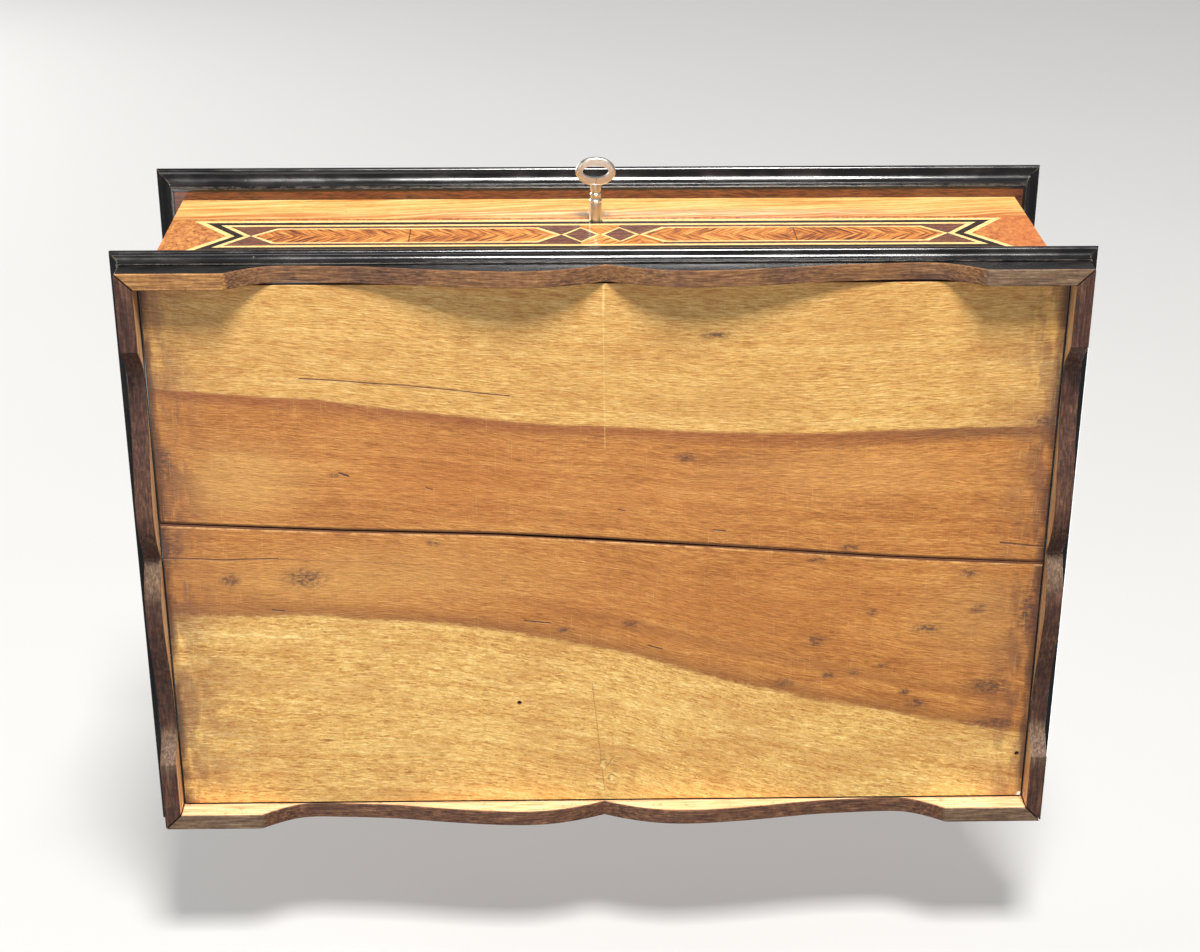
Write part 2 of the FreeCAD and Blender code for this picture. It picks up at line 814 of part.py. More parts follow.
def catch(z0, z1):
    length_y0 = -INNER_Y + FIT
    length_y1 = INNER_Y - SLIP_TRAVEL - FIT
    half = SLIP_W / 2
    strip = box(SLIP_X - half, SLIP_X + half, length_y0, length_y1, z0, z1)
    tongues = box(
        SLIP_X - half - TONGUE, SLIP_X + half + TONGUE, length_y0, length_y1, z0 + 1.4, z1 - 1.4
    )
    keep("catch_slip", union([strip, tongues]))
    keep("catch_peg", rod(PEG_R, (SLIP_X, PEG_Y, PEG_LOW), (SLIP_X, PEG_Y, z0)))


# Carcase

def subfloor_groove():
    return box(
        -INNER_X - GROOVE,
        INNER_X + GROOVE,
        -INNER_Y - GROOVE,
        INNER_Y + GROOVE,
        SUBFLOOR_Z,
        SUBFLOOR_Z + SUBFLOOR_T,
    )


def carcase(inlay):
    groove = subfloor_groove()
    inlaid = [s for shapes in inlay.values() for s in shapes]
    front = box(-HALF_W, HALF_W, -HALF_D, -INNER_Y, FLOOR_TOP, WALL_TOP)
    front = front.cut([groove, lock_recess(), keyhole()])
    front = front.cut([lock_screw(p) for p in lock_screw_points()])
    keep("front_board", front.cut(inlaid))
    back = box(-HALF_W, HALF_W, INNER_Y, HALF_D, FLOOR_TOP, WALL_TOP).cut(groove)
    back = back.cut(leaf_mortises(False) + [screw_at(p, False) for p in all_hinge_screw_points(False)])
    keep("back_board", back)
    end_box = (-INNER_Y, INNER_Y)
    left = box(-HALF_W, -INNER_X, *end_box, FLOOR_TOP, WALL_TOP).cut(groove)
    keep("left_board", left.cut(inlaid))
    right = box(INNER_X, HALF_W, *end_box, DRAWER_TOP + DRAWER_GAP, WALL_TOP).cut(groove)
    keep("right_board", right.cut(inlaid))


def leaf_mortises(is_lid):
    tools = []
    for x in (-HINGE_X, HINGE_X):
        x0, x1 = x - HINGE_LEN / 2, x + HINGE_LEN / 2
        y0, y1 = HALF_D - LEAF_DEPTH, HALF_D + LID_OVER + 1
        if is_lid:
            tools.append(box(x0, x1, y0, HINGE_Y, LID_Z - 1, LID_Z + LEAF_GAP + LEAF_T))
        else:
            tools.append(box(x0, x1, y0, y1, LID_Z - LEAF_GAP - LEAF_T, LID_Z + 1))
    return tools


def bottom_boards():
    """Two planks of the bottom, parted by a slightly slanting shrinkage gap."""
    lower = [V(x, y - gap / 2, FLOOR_Z) for x, y, gap in CRACK]
    upper = [V(x, y + gap / 2, FLOOR_Z) for x, y, gap in CRACK]
    front = [V(-HALF_W, FRONT_Y, FLOOR_Z), V(HALF_W, FRONT_Y, FLOOR_Z)] + lower[::-1]
    back = upper + [V(HALF_W, HALF_D, FLOOR_Z), V(-HALF_W, HALF_D, FLOOR_Z)]
    keep("bottom_front_plank", prism(front, V(0, 0, FLOOR_T)))
    holes = [rod(WORM_R, (x, y, FLOOR_Z - 1), (x, y, FLOOR_Z + WORM_DEPTH)) for x, y in WORM_HOLES]
    keep("bottom_back_plank", prism(back, V(0, 0, FLOOR_T)).cut(holes))


def lid(inlay):
    half_w = HALF_W + LID_OVER
    half_d = HALF_D + LID_OVER
    board = box(-half_w, half_w, -half_d, half_d, LID_Z, LID_Z + LID_T)
    tools = leaf_mortises(True) + knuckle_recesses() + strike_screw_tools()
    tools += [screw_at(p, True) for p in all_hinge_screw_points(True)]
    tools.append(strike_block(LID_Z - 1, LID_Z + PLATE_T))
    tools += [s for shapes in inlay.values() for s in shapes]
    keep("lid_board", board.cut(tools))


INLAY_NAMES = {
    "ebony": "ebony_lines",
    "string": "boxwood_stringing",
    "walnut": "walnut_inlay",
    "satin": "satinwood_inlay",
}


def build():
    body_inlay = carcase_inlay()
    top_inlay = lid_inlay()
    carcase(body_inlay)
    bottom_boards()
    aprons()
    mouldings()
    lid(top_inlay)
    for wood, name in INLAY_NAMES.items():
        keep(f"body_{name}", group(body_inlay[wood]))
        keep(f"lid_{name}", group(top_inlay[wood]))
    hinges()
    lock()
    secret_drawer()
    drawer_runners()
    subfloor = (SUBFLOOR_Z, SUBFLOOR_Z + SUBFLOOR_T)
    subfloor_panels(*subfloor)
    catch(*subfloor)


def export():
    os.makedirs("parts", exist_ok=True)
    for name, shape in PARTS.items():
        moved = shape.copy()
        moved.translate(V(0, CENTRE_SHIFT, 0))
        moved.exportStep(f"parts/{name}.step")


build()
export()
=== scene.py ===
import json
import math

import bmesh
import bpy
from mathutils import Matrix, Vector

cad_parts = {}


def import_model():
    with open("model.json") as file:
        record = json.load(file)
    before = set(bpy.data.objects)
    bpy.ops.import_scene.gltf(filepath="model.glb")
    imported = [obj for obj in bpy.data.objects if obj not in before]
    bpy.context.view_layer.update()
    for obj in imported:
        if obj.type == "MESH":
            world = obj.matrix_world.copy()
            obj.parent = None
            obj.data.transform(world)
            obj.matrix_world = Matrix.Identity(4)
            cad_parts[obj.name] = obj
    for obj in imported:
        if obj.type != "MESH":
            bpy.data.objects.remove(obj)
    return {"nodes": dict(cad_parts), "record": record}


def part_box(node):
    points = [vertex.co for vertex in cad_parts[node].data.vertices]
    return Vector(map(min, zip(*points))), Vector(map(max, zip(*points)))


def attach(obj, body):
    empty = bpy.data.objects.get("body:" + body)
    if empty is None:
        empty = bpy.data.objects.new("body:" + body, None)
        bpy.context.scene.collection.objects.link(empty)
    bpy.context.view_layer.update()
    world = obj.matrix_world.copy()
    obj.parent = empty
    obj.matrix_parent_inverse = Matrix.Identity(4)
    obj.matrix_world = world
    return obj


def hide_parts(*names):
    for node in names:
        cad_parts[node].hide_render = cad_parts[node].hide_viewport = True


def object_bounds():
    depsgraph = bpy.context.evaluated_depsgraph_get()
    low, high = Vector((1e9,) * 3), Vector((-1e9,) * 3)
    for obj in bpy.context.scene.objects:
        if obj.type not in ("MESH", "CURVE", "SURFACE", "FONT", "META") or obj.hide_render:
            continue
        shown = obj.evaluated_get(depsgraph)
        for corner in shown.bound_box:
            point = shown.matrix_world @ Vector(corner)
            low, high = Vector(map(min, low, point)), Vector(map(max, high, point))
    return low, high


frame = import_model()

CAD_LOW, CAD_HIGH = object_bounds()
NODES = frame["nodes"]
MM = 1000.0

# Camera at the photograph's viewing angle, in metres and degrees
LENS = 64.8
SENSOR = 36.0
CAMERA_AT = (-0.01576, -0.32541, -0.65553)
CAMERA_PITCH = -24.494
CAMERA_YAW = -1.094
CAMERA_ROLL = -0.393

# The carcase: its middle in the frame and its half sizes, in millimetres
MIDDLE_Y = (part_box("bottom_front_plank")[0].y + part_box("bottom_back_plank")[1].y) / 2 * MM
HALF_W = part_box("front_board")[1].x * MM
HALF_D = (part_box("back_board")[1].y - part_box("front_board")[0].y) / 2 * MM


def srgb(value):
    """Linear light for a display value from 0 to 255."""
    value /= 255
    return value / 12.92 if value <= 0.04045 else ((value + 0.055) / 1.055) ** 2.4


def tone(red, green, blue):
    """A colour given as display values from 0 to 255."""
    return (srgb(red), srgb(green), srgb(blue), 1.0)


class Graph:
    """One material, built node by node. Most methods return the socket that they made."""

    # what line() spans, in millimetres
    LINE_LENGTH = 320.0
    LINE_RISE = 220.0

    def __init__(self, name):
        self.material = bpy.data.materials.new(name)
        self.material.use_nodes = True
        self.tree = self.material.node_tree
        self.tree.nodes.clear()
        self.shader = self.add("ShaderNodeBsdfPrincipled")
        self.output = self.add("ShaderNodeOutputMaterial")
        self.plug(self.output.inputs[0], self.shader.outputs[0])
        metres = self.add("ShaderNodeTexCoord").outputs["Object"]
        scaled = self.vector("MULTIPLY", metres, (MM, MM, MM))
        self.place = self.vector("SUBTRACT", scaled, (0, MIDDLE_Y, 0))
        self.x, self.y, self.z = self.split(self.place)

    def add(self, kind, **settings):
        node = self.tree.nodes.new(kind)
        for key, value in settings.items():
            setattr(node, key, value)
        return node

    def plug(self, socket, value):
        if isinstance(value, bpy.types.NodeSocket):
            self.tree.links.new(value, socket)
        else:
            socket.default_value = value

    def math(self, operation, *values, clamp=False):
        node = self.add("ShaderNodeMath", operation=operation, use_clamp=clamp)
        for socket, value in zip(node.inputs, values):
            self.plug(socket, value)
        return node.outputs[0]

    def vector(self, operation, *values):
        node = self.add("ShaderNodeVectorMath", operation=operation)
        for socket, value in zip(node.inputs, values):
            self.plug(socket, value)
        scalar = operation in ("LENGTH", "DOT_PRODUCT")
        return node.outputs["Value" if scalar else "Vector"]

    def split(self, vector):
        node = self.add("ShaderNodeSeparateXYZ")
        self.plug(node.inputs[0], vector)
        return node.outputs[0], node.outputs[1], node.outputs[2]

    def join(self, x, y, z=0.0):
        node = self.add("ShaderNodeCombineXYZ")
        for socket, value in zip(node.inputs, (x, y, z)):
            self.plug(socket, value)
        return node.outputs[0]

    def minus(self, a, b):
        return self.math("SUBTRACT", a, b)

    def absolute(self, value):
        return self.math("ABSOLUTE", value)

    def chain(self, operation, values):
        result = values[0]
        for value in values[1:]:
            result = self.math(operation, result, value)
        return result

    def sum(self, *values):
        return self.chain("ADD", values)

    def times(self, *values):
        return self.chain("MULTIPLY", values)

    def largest(self, *values):
        return self.chain("MAXIMUM", values)

    def step(self, value, low, high, start=0.0, end=1.0):
        """Goes smoothly from start to end while value goes from low to high."""
        node = self.add("ShaderNodeMapRange", interpolation_type="SMOOTHSTEP")
        for socket, setting in zip(node.inputs, (value, low, high, start, end)):
            self.plug(socket, setting)
        return node.outputs[0]

    def mix(self, share, a, b, blend="MIX"):
        """Colour that goes from a to b as share goes from 0 to 1."""
        node = self.add("ShaderNodeMix", data_type="RGBA", blend_type=blend)
        self.plug(node.inputs[0], share)
        self.plug(node.inputs[6], a)
        self.plug(node.inputs[7], b)
        return node.outputs[2]

    def blend(self, share, a, b):
        """The same for plain values."""
        node = self.add("ShaderNodeMix", data_type="FLOAT")
        self.plug(node.inputs[0], share)
        self.plug(node.inputs[2], a)
        self.plug(node.inputs[3], b)
        return node.outputs[0]

    def noise(self, where, stretch=(1, 1, 1), detail=2.0, rough=0.5, bend=0.0, shift=0.0):
        """Noise over a place in millimetres, stretch being cycles per millimetre along each axis."""
        spot = self.vector("MULTIPLY", where, stretch)
        if shift:
            spot = self.vector("ADD", spot, (shift, shift * 1.7, shift * 0.6))
        node = self.add("ShaderNodeTexNoise")
        self.plug(node.inputs["Vector"], spot)
        node.inputs["Scale"].default_value = 1.0
        node.inputs["Detail"].default_value = detail
        node.inputs["Roughness"].default_value = rough
        node.inputs["Distortion"].default_value = bend
        return node.outputs["Fac"]

    def ramp(self, value, *stops):
        """Colour ramp through (position, colour) stops."""
        node = self.add("ShaderNodeValToRGB")
        self.plug(node.inputs[0], value)
        band = node.color_ramp.elements
        while len(band) < len(stops):
            band.new(0.5)
        for element, (position, colour) in zip(band, stops):
            element.position = position
            element.color = colour
        return node.outputs[0]

    def line(self, x, points):
        """The y of a smooth line through points, at x, both measured from the carcase's middle."""
        node = self.add("ShaderNodeFloatCurve")
        self.plug(node.inputs["Value"], self.math("MULTIPLY_ADD", x, 1 / self.LINE_LENGTH, 0.5))
        knots = node.mapping.curves[0].points
        while len(knots) < len(points):
            knots.new(0.5, 0.5)
        for knot, (px, py) in zip(knots, points):
            knot.location = (px / self.LINE_LENGTH + 0.5, py / self.LINE_RISE + 0.5)
        node.mapping.update()
        return self.math("MULTIPLY_ADD", node.outputs[0], self.LINE_RISE, -self.LINE_RISE / 2)

    def spot(self, a, b, middle, radii, soft=0.5, ragged=0.0, noise=None):
        """1 inside an ellipse on the (a, b) plane, 0 outside; ragged shifts its edge by noise."""
        da = self.math("MULTIPLY", self.minus(a, middle[0]), 1 / radii[0])
        db = self.math("MULTIPLY", self.minus(b, middle[1]), 1 / radii[1])
        away = self.vector("LENGTH", self.join(da, db))
        if ragged:
            away = self.math("MULTIPLY_ADD", noise, ragged, away)
        return self.step(away, 1.0, 1.0 - soft)

    def stroke(self, a, b, start, end, width, wobble=None):
        """1 on a straight stroke between two points of the (a, b) plane, 0 beyond its width."""
        run = (end[0] - start[0], end[1] - start[1])
        size = run[0] ** 2 + run[1] ** 2
        da = self.minus(a, start[0])
        db = self.minus(b, start[1])
        along = self.math("MULTIPLY_ADD", da, run[0] / size, self.times(db, run[1] / size), clamp=True)
        off_a = self.math("MULTIPLY_ADD", along, -run[0], da)
        off_b = self.math("MULTIPLY_ADD", along, -run[1], db)
        if wobble is not None:
            off_b = self.math("ADD", off_b, wobble)
        away = self.vector("LENGTH", self.join(off_a, off_b))
        return self.step(away, width, width * 0.35)

    def facing(self, axis):
        """How much the flat face looks along an axis (0 x, 1 y, 2 z), from -1 to 1, at rest."""
        geometry = self.add("ShaderNodeNewGeometry")
        turn = self.add("ShaderNodeVectorTransform", vector_type="NORMAL")
        turn.convert_from = "WORLD"
        turn.convert_to = "OBJECT"
        self.plug(turn.inputs[0], geometry.outputs["True Normal"])
        return self.split(turn.outputs[0])[axis]

    def worn(self, radius, reach=0.25):
        """1 along sharp edges, within about radius millimetres of them, 0 on flats."""
        bevel = self.add("ShaderNodeBevel", samples=4)
        bevel.inputs["Radius"].default_value = radius / MM
        geometry = self.add("ShaderNodeNewGeometry")
        same = self.vector("DOT_PRODUCT", bevel.outputs[0], geometry.outputs["Normal"])
        return self.step(same, 0.98, 1.0 - reach)

    def finish(self, colour, rough, height=None, depth=0.1, metal=0.0, coat=0.0, coat_rough=0.1):
        self.plug(self.shader.inputs["Base Color"], colour)
        self.plug(self.shader.inputs["Roughness"], rough)
        self.shader.inputs["Metallic"].default_value = metal
        self.shader.inputs["Coat Weight"].default_value = coat
        self.shader.inputs["Coat Roughness"].default_value = coat_rough
        if height is not None:
            bump = self.add("ShaderNodeBump")
            bump.inputs["Strength"].default_value = 1.0
            bump.inputs["Distance"].default_value = depth / MM
            self.plug(bump.inputs["Height"], height)
            self.plug(self.shader.inputs["Normal"], bump.outputs[0])
        return self.material


# The bottom planks: pale wood with a darker heart between two long lines, in millimetres

HEART_TOP = [(-152, -63.4), (-92, -57.4), (-32, -50.6), (28, -46), (68, -45), (128, -47), (152, -47.6)]
HEART_END = [(-152, 21), (-92, 23.4), (-62, 25.4), (-2, 36), (28, 45), (88, 60), (152, 72.4)]
GAP_LINE = [(-151, -13.2), (-92, -10.3), (-36, -8.3), (-4, -6.3), (48, -2.6), (98, 1.3), (151, 4.0)]
HEART_GRAIN = 88.0  # the heart's width as its grain counts it, the same at both ends
HEART_TINT = (1.0, 0.96, 0.72, 1.0)
PLANK_INSIDE_Z = 12.5

# paler and deeper patches of the heart: middle, radii, display colour, strength
PATCHES = [
    ((85, -30), (80, 18), (221, 162, 98), 0.6),
    ((-124, -28), (34, 20), (224, 172, 104), 0.8),
    ((-86, 8), (84, 19), (212, 158, 92), 0.85),
    ((-52, -28), (48, 19), (194, 122, 58), 0.7),
    ((20, -22), (60, 14), (202, 134, 72), 0.5),
    ((45, 22), (75, 24), (190, 122, 58), 0.65),
    ((130, 24), (30, 30), (198, 148, 92), 0.65),
]

# dark stains: middle, radii
STAINS = [
    ((27, -36.4), (5.5, 2.6)),
    ((-103, 8), (11, 5.5)),
    ((-129, 8.6), (5, 4)),
    ((-59, -5.2), (3.5, 2.2)),
    ((84, -2.4), (5, 2)),
    ((73, 2.6), (4.5, 1.8)),
    ((130, 21.6), (4, 3.4)),
    ((93, 23), (3, 2.2)),
    ((112, 29.4), (7, 2.6)),
    ((74, 34), (4.5, 3.8)),
    ((9, 26.6), (4.5, 2.2)),
    ((-14, 29), (4, 2)),
    ((79, 48), (3.4, 2.4)),
    ((63, 51), (5, 2.8)),
    ((106, 55), (3.6, 2.2)),
    ((111, 59.5), (6, 2.6)),
    ((136, 53), (12, 5)),
    ((-90, -31), (5, 1.4)),
    ((36, -80.4), (7, 2.2)),
    ((126, 8), (5, 2.6)),
    ((138, 68), (13, 3)),
    ((148, -49), (9, 4)),
    ((148, 24), (6, 14)),
    ((-149, -4), (6, 12)),
    ((-148, -36), (5, 10)),
    ((98, 44), (4, 2)),
    ((88, 47), (3, 1.6)),
]

# short dark ticks: start, end, width
TICKS = [
    ((-89.6, -31.6), (-86.6, -30.4), 0.35),
    ((37, -9.3), (41, -8.9), 0.35),
    ((15, 35.3), (20, 36.8), 0.3),
    ((-60.5, -26), (-58.6, -25.3), 0.3),
    ((4.4, -17.5), (6.6, -16.8), 0.3),
    ((-115, 20.2), (-111, 20.6), 0.3),
    ((-28, 25.2), (-19, 26.2), 0.3),
]

# hairline splits, dark and then faint: start, end, width, waver
SPLITS = [
    ((-101, -65.6), (-70, -63.6), 0.32, 2.0),
    ((-70, -63.6), (-32, -59.4), 0.3, 2.0),
    ((-152, 0.2), (-112, 0.8), 0.3, 3.0),
    ((136, -3.4), (152, -2.0), 0.4, 2.0),
]
FAINT_SPLITS = [
    ((-112, 0.8), (-62, 3.0), 0.3, 2.0),
    ((-4.5, 50), (0.5, 99), 0.3, 1.0),
]

# the two insect holes, whose dark rims are wider than the holes
HOLES = [(-30.2, 58.0), (148.3, 80.8)]
HOLE_RIM = 1.0

# a white crust in one corner: middle, radii
CRUST = (150.6, 98.6), (1.6, 2.4)


class BottomWood(Graph):
    """The underside of the box, laid down layer by layer."""

    def __init__(self):
        super().__init__("bottom_wood")
        self.waver = self.minus(self.noise(self.place, (0.025, 0.05, 0.05), 2), 0.5)
        self.jitter = self.minus(self.noise(self.place, (0.25, 1.2, 1), 3, 0.6), 0.5)
        self.measure()
        self.make_grain()
        self.make_marks()

    def measure(self):
        """Millimetres past each of the long lines, and 1 in the heart."""
        top = self.minus(self.y, self.line(self.x, HEART_TOP))
        end = self.minus(self.y, self.line(self.x, HEART_END))
        self.past_top = self.sum(top, self.times(self.waver, 3.0), self.times(self.jitter, 0.9))
        self.past_end = self.sum(end, self.times(self.waver, -5.0), self.times(self.jitter, 2.2))
        self.past_gap = self.minus(self.y, self.line(self.x, GAP_LINE))
        self.heart = self.times(self.step(self.past_top, -0.4, 0.9), self.step(self.past_end, 1.2, -1.6))

    def make_grain(self):
        """Noises along the grain, which runs with the heart's lines, and noises of the surface."""
        width = self.minus(self.line(self.x, HEART_END), self.line(self.x, HEART_TOP))
        share = self.math("DIVIDE", self.past_top, width, clamp=True)
        above = self.math("MINIMUM", self.past_top, 0.0)
        across = self.math("MULTIPLY_ADD", share, HEART_GRAIN, above)
        across = self.sum(across, self.largest(self.past_end, 0.0), self.times(self.waver, 2.0))
        run = self.join(self.x, across)
        self.fine = self.noise(run, (0.16, 2.4, 1), 4, 0.68)
        self.flecks = self.noise(run, (0.15, 3.0, 1), 4, 0.66, shift=7.0)
        self.long_grain = self.noise(run, (0.012, 0.42, 1), 4, 0.62, shift=3.0)
        self.curl = self.noise(run, (0.4, 1.0, 1), 4, 0.66, bend=0.7, shift=5.0)
        self.fibre = self.noise(run, (0.32, 3.4, 1), 4, 0.7, shift=41.0)
        self.cloud = self.noise(self.place, (0.03, 0.06, 1), 3, 0.55, shift=11.0)
        self.ragged = self.noise(self.place, (0.16, 0.05, 1), 4, 0.65, shift=19.0)
        self.smudge = self.noise(self.place, (0.55, 0.8, 1), 3, 0.7, shift=23.0)
        self.torn_edge = self.minus(self.smudge, 0.5)

    def wavy_strokes(self, table):
        strokes = [
            self.stroke(self.x, self.y, start, end, width, self.times(self.waver, wobble))
            for start, end, width, wobble in table
        ]
        return self.largest(*strokes)

    def make_marks(self):
        """Marks that colour the wood and also dent or lift it: 1 on the mark."""
        x, y = self.x, self.y
        self.by_gap = self.step(self.absolute(self.past_gap), 1.3, 0.45)
        wobble = self.times(self.jitter, 0.5)
        self.ticks = self.largest(*[self.stroke(x, y, *tick, wobble) for tick in TICKS])
        self.splits = self.wavy_strokes(SPLITS)
        self.gouge = self.largest(
            self.spot(x, y, (-0.6, 83.4), (1.5, 2.8), 0.7, 1.6, self.torn_edge),
            self.spot(x, y, (2.4, 89.2), (1.5, 2.4), 0.7, 1.8, self.torn_edge),
            self.stroke(x, y, (0.4, 86.0), (3.8, 80.4), 0.35, self.times(self.jitter, 1.5)),
        )
        back_corner = self.spot(x, y, (-130, 75), (14, 18), 0.9, 0.9, self.waver)
        front_corner = self.spot(x, y, (-128, -40), (24, 22), 0.9)
        self.torn = self.largest(
            self.times(back_corner, self.step(self.curl, 0.56, 0.62)),
            self.times(front_corner, self.step(self.fine, 0.6, 0.68)),
        )

    def sapwood(self):
        parts = self.times(self.fine, 0.5), self.times(self.curl, 0.25), self.times(self.long_grain, 0.25)
        pale = self.ramp(
            self.sum(*parts),
            (0.36, tone(176, 116, 54)),
            (0.44, tone(212, 156, 80)),
            (0.51, tone(234, 188, 106)),
            (0.6, tone(250, 214, 138)),
        )
        pale = self.mix(self.step(self.cloud, 0.45, 0.65, 0, 0.45), pale, tone(196, 136, 66))
        # darker towards the front apron: painted shade from the apron's shadow
        pale = self.mix(self.step(self.y, -20, -75, 0, 0.35), pale, tone(198, 140, 70))
        return self.mix(self.step(self.flecks, 0.57, 0.7, 0, 0.55), pale, tone(150, 92, 44))

    def heartwood(self):
        grain = self.sum(self.times(self.fine, 0.35), self.times(self.long_grain, 0.3))
        deep = self.ramp(
            self.sum(grain, self.times(self.curl, 0.15), self.times(self.cloud, 0.2)),
            (0.38, tone(150, 90, 42)),
            (0.46, tone(182, 116, 56)),
            (0.54, tone(202, 138, 72)),
            (0.64, tone(224, 168, 100)),
        )
        for middle, radii, colour, strength in PATCHES:
            patch = self.spot(self.x, self.y, middle, radii, 0.9, 0.5, self.waver)
            deep = self.mix(self.times(patch, strength), deep, self.mix(0.72, deep, tone(*colour)))
        return self.mix(self.step(self.flecks, 0.6, 0.7, 0, 0.6), deep, tone(138, 80, 40))

    def borders(self, colour):
        """Dark rims along the heart's two lines, and a second streak above the lower one."""
        rim = self.times(self.step(self.past_top, -0.8, 0.7), self.step(self.past_top, 6.5, 1.6))
        rim = self.times(rim, self.step(self.jitter, -0.4, 0.5, 0.95, 0.55))
        rim = self.times(rim, self.step(self.x, 60, 140, 0.85, 1.0))
        rim_tone = self.mix(self.step(self.x, 60, 130), tone(148, 82, 44), tone(112, 68, 46))
        colour = self.mix(rim, colour, rim_tone)
        streak = self.times(self.step(self.past_end, -7.5, -1.2), self.step(self.past_end, 1.4, -0.6))
        streak = self.times(streak, self.step(self.jitter, -0.5, 0.5, 0.85, 0.4))
        colour = self.mix(streak, colour, tone(150, 96, 50))
        second = self.times(self.step(self.past_end, -17, -13), self.step(self.past_end, -9, -12))
        second = self.times(second, self.step(self.x, -40, 0), 0.5)
        return self.mix(second, colour, tone(156, 96, 48))

    def dirt_shade_and_lip_highlight(self, colour):
        """Dirt and painted shade towards both ends, dark lines at the ends and beside the gap, and a painted
        highlight on the gap's lip.
        """
        from_end = self.minus(HALF_W, self.absolute(self.x))
        # darker within 20 mm of both ends, beside the end aprons: partly dirt, partly painted shade
        edge = self.times(self.step(from_end, 20.0, 1.0), self.step(self.ragged, 0.4, 0.58))
        edge = self.times(edge, self.blend(self.heart, 0.7, 1.0), 0.85)
        colour = self.mix(edge, colour, tone(116, 76, 58))
        # a broader darkening near both ends: partly dirt, partly painted shade
        dirt_and_shade_near_ends = self.times(self.step(from_end, 36.0, 4.0), self.step(self.cloud, 0.35, 0.6), 0.4)
        colour = self.mix(dirt_and_shade_near_ends, colour, tone(152, 100, 62))
        seam = self.step(self.absolute(from_end), 3.4, 0.4)
        seam = self.times(seam, self.step(self.ragged, 0.3, 0.5, 0.4, 0.85))
        colour = self.mix(seam, colour, tone(84, 52, 36))
        colour = self.mix(self.times(self.by_gap, 0.85), colour, tone(78, 38, 28))
        # painted highlight along the lip of the gap, where the plank's edge catches light
        lit_lip = self.times(self.step(self.past_gap, 0.6, 0.9), self.step(self.past_gap, 1.8, 1.2))
        lit_lip = self.times(lit_lip, self.step(self.ragged, 0.4, 0.6, 0, 0.5))
        return self.mix(lit_lip, colour, tone(240, 190, 130))

    def stains(self, colour):
        x, y = self.x, self.y
        stain = self.largest(*[self.spot(x, y, *place, 1.0, 0.9, self.torn_edge) for place in STAINS])
        stain = self.times(stain, self.step(self.smudge, 0.42, 0.62, 1.0, 0.35), 0.9)
        colour = self.mix(stain, colour, tone(90, 58, 50))
        rims = [self.spot(x, y, middle, (HOLE_RIM, HOLE_RIM), 0.4) for middle in HOLES]
        colour = self.mix(self.largest(*rims), colour, tone(34, 20, 14))
        return self.mix(self.times(self.ticks, 0.85), colour, tone(84, 48, 30))

    def scratches(self, colour):
        """Hairline splits, pale scratches, the gouge near the back edge and torn grain."""
        x, y = self.x, self.y
        colour = self.mix(self.times(self.splits, 0.8), colour, tone(110, 64, 40))
        faint = self.wavy_strokes(FAINT_SPLITS)
        colour = self.mix(self.times(faint, 0.45), colour, tone(140, 92, 50))
        bold = self.stroke(x, y, (-0.8, -99), (-0.9, -88), 0.55)
        thin = self.stroke(x, y, (-0.9, -88), (-0.2, -40), 0.3)
        light = self.largest(bold, self.times(thin, 0.5), self.gouge)
        light = self.times(light, self.step(self.curl, 0.35, 0.6, 0.3, 0.8))
        colour = self.mix(light, colour, tone(248, 214, 140))
        colour = self.mix(self.times(self.torn, 0.55), colour, tone(246, 208, 142))
        cross = self.noise(self.place, (2.2, 0.06, 1), 2, 0.6, shift=31.0)
        colour = self.mix(self.step(cross, 0.6, 0.72, 0, 0.16), colour, tone(248, 214, 150))
        crust = self.spot(x, y, *CRUST, 0.5, 0.9, self.torn_edge)
        return self.mix(crust, colour, tone(240, 234, 220))

    def fibres(self, colour):
        """Fibre contrast, the darker fibres being warmer too, and the heart's warmth."""
        tooth = self.sum(self.times(self.fine, 0.3), self.times(self.flecks, 0.2))
        tooth = self.sum(tooth, self.times(self.fibre, 0.5))
        gain = self.step(tooth, 0.36, 0.62, 0.66, 1.2)
        warmer = self.join(self.math("POWER", gain, 0.8), gain, self.math("POWER", gain, 1.4))
        colour = self.mix(1.0, colour, warmer, "MULTIPLY")
        warm_heart = self.mix(1.0, colour, HEART_TINT, "MULTIPLY")
        return self.mix(self.times(self.heart, 0.6), colour, warm_heart)

    def build(self):
        deep = self.heartwood()
        colour = self.mix(self.heart, self.sapwood(), deep)
        for layer in (self.borders, self.dirt_shade_and_lip_highlight, self.stains, self.scratches, self.fibres):
            colour = layer(colour)
        side = self.step(self.absolute(self.facing(2)), 0.7, 0.3)
        colour = self.mix(side, colour, tone(120, 78, 46))
        inside = self.step(self.z, PLANK_INSIDE_Z - 0.5, PLANK_INSIDE_Z + 0.5)
        colour = self.mix(inside, colour, self.mix(0.5, deep, tone(150, 104, 62)))
        rough = self.step(self.fine, 0.3, 0.7, 0.62, 0.48)
        lifted = self.sum(self.times(self.fine, 0.5), self.times(self.curl, 0.45), self.times(self.torn, 0.8))
        dents = self.sum(
            self.times(self.flecks, 0.25),
            self.times(self.splits, 2.0),
            self.ticks,
            self.times(self.gouge, 1.5),
            self.times(self.by_gap, 0.6),
        )
        return self.finish(colour, rough, self.minus(lifted, dents), 0.34)


# Polished veneers and inlay woods, in millimetres

POLISH = {"coat": 0.25, "coat_rough": 0.08}
CROSSBAND_TOP = 77.1
INSIDE_DEPTH = 0.45
REDDER_FROM = 118.0
REDDEST_AT = 150.0

# the long hexagons of the inlaid band: its middle height, the stretch whose chevrons point the other
# way, and the joint across each hexagon
PANEL_Z = 58.2
TURNED_FROM = 13.0
TURNED_TO = 66.3
LEAF_JOINT = 66.6


